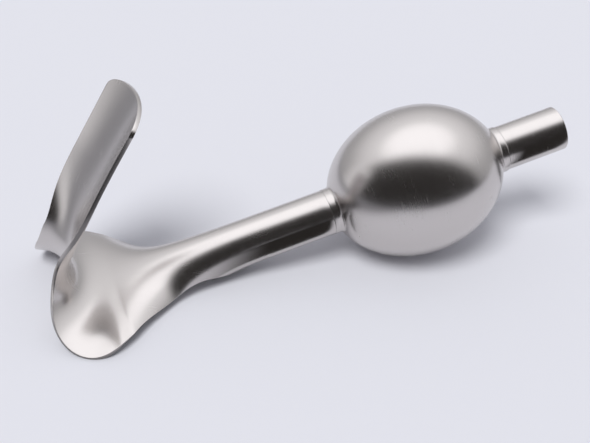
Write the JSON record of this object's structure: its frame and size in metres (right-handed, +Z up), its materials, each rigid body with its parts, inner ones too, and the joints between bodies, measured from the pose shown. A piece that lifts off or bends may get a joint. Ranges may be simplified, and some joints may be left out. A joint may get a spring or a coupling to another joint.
{
  "type": "vaginal speculum",
  "caption": "Weighted self-retaining vaginal speculum: a gutter-shaped blade bent up from a tubular handle with a heavy ball and an open drain spout.",
  "frame": {"origin": "centre of the bounding box in plan, on the surface that it rests on", "axes": "+X from the bend of the blade along the handle to the spout, +Z up, the object's plane of symmetry is XZ"},
  "size_m": [0.229, 0.082, 0.0892],
  "materials": {
    "blade_and_channel": "satin stainless steel",
    "ball_front_shell": "satin stainless steel",
    "ball_rear_shell": "satin stainless steel",
    "ball_filling": "packed metal filling, out of sight",
    "drain_tube": "satin stainless steel"
  },
  "bodies": {
    "root": {"blade_and_channel": "blade_and_channel", "ball_front_shell": "ball_front_shell", "ball_rear_shell": "ball_rear_shell", "ball_filling": "ball_filling", "drain_tube": "drain_tube"}
  },
  "joints": []
}
